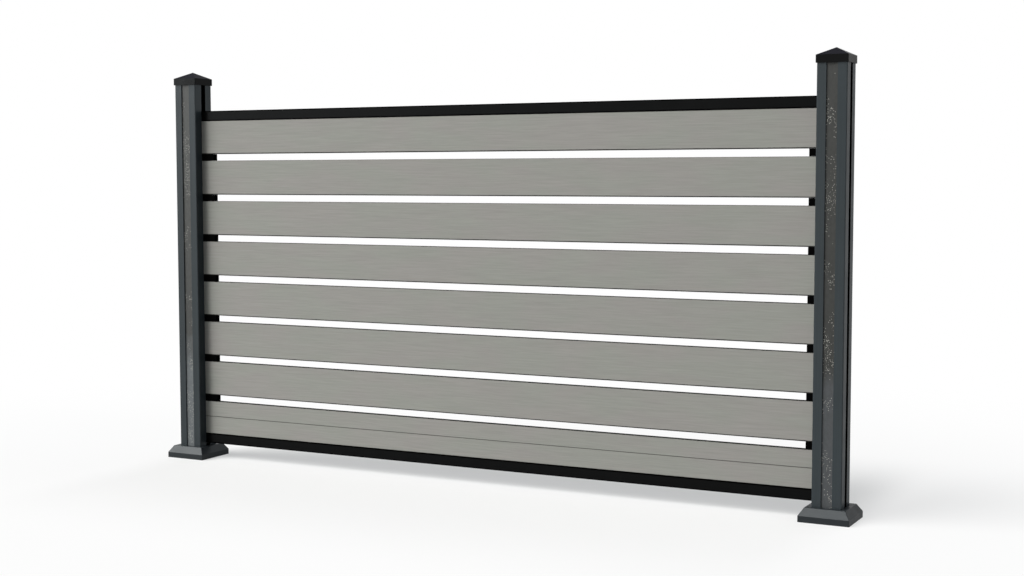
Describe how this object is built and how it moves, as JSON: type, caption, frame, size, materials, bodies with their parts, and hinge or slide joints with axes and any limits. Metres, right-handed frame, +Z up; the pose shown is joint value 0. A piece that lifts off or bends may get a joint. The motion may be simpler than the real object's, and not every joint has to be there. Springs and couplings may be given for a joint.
{
  "type": "garden privacy screen",
  "caption": "Low garden screen bay: grey composite boards with open gaps between two grooved anthracite posts with caps and base covers.",
  "frame": {"origin": "on the ground, midway between the two posts and midway through the thickness of the screen", "axes": "+X along the boards towards the right post, -Y towards the front, +Z up"},
  "size_m": [1.94, 0.12, 1.075],
  "materials": {
    "post": "powder coated, anthracite, satin",
    "cap": "moulded, near black",
    "base_cover": "moulded, dark grey, fine grain",
    "cover_strip": "painted brown-grey, weathered",
    "board": "wood-plastic composite, brushed along the board, warm grey",
    "rail": "powder coated, black",
    "spacer": "moulded, black",
    "steel": "zinc plated",
    "bracket": "powder coated, black"
  },
  "bodies": {
    "root": {"left_post": "post", "left_post_cap": "cap", "left_base_cover": "base_cover", "left_post_shoe": "steel", "left_front_strip": "cover_strip", "left_back_strip": "cover_strip", "left_rail_bracket": "bracket", "left_inner_screw": "steel", "left_outer_screw": "steel", "right_post": "post", "right_post_cap": "cap", "right_base_cover": "base_cover", "right_post_shoe": "steel", "right_front_strip": "cover_strip", "right_back_strip": "cover_strip", "right_rail_bracket": "bracket", "right_inner_screw": "steel", "right_outer_screw": "steel", "bottom_rail": "rail", "top_rail": "rail", "slat_8_lower": "board", "slat_8_upper": "board", "slat_1": "board", "spacer_left_1": "spacer", "spacer_right_1": "spacer", "slat_2": "board", "spacer_left_2": "spacer", "spacer_right_2": "spacer", "slat_3": "board", "spacer_left_3": "spacer", "spacer_right_3": "spacer", "slat_4": "board", "spacer_left_4": "spacer", "spacer_right_4": "spacer", "slat_5": "board", "spacer_left_5": "spacer", "spacer_right_5": "spacer", "slat_6": "board", "spacer_left_6": "spacer", "spacer_right_6": "spacer", "slat_7": "board", "spacer_left_7": "spacer", "spacer_right_7": "spacer"}
  },
  "joints": []
}
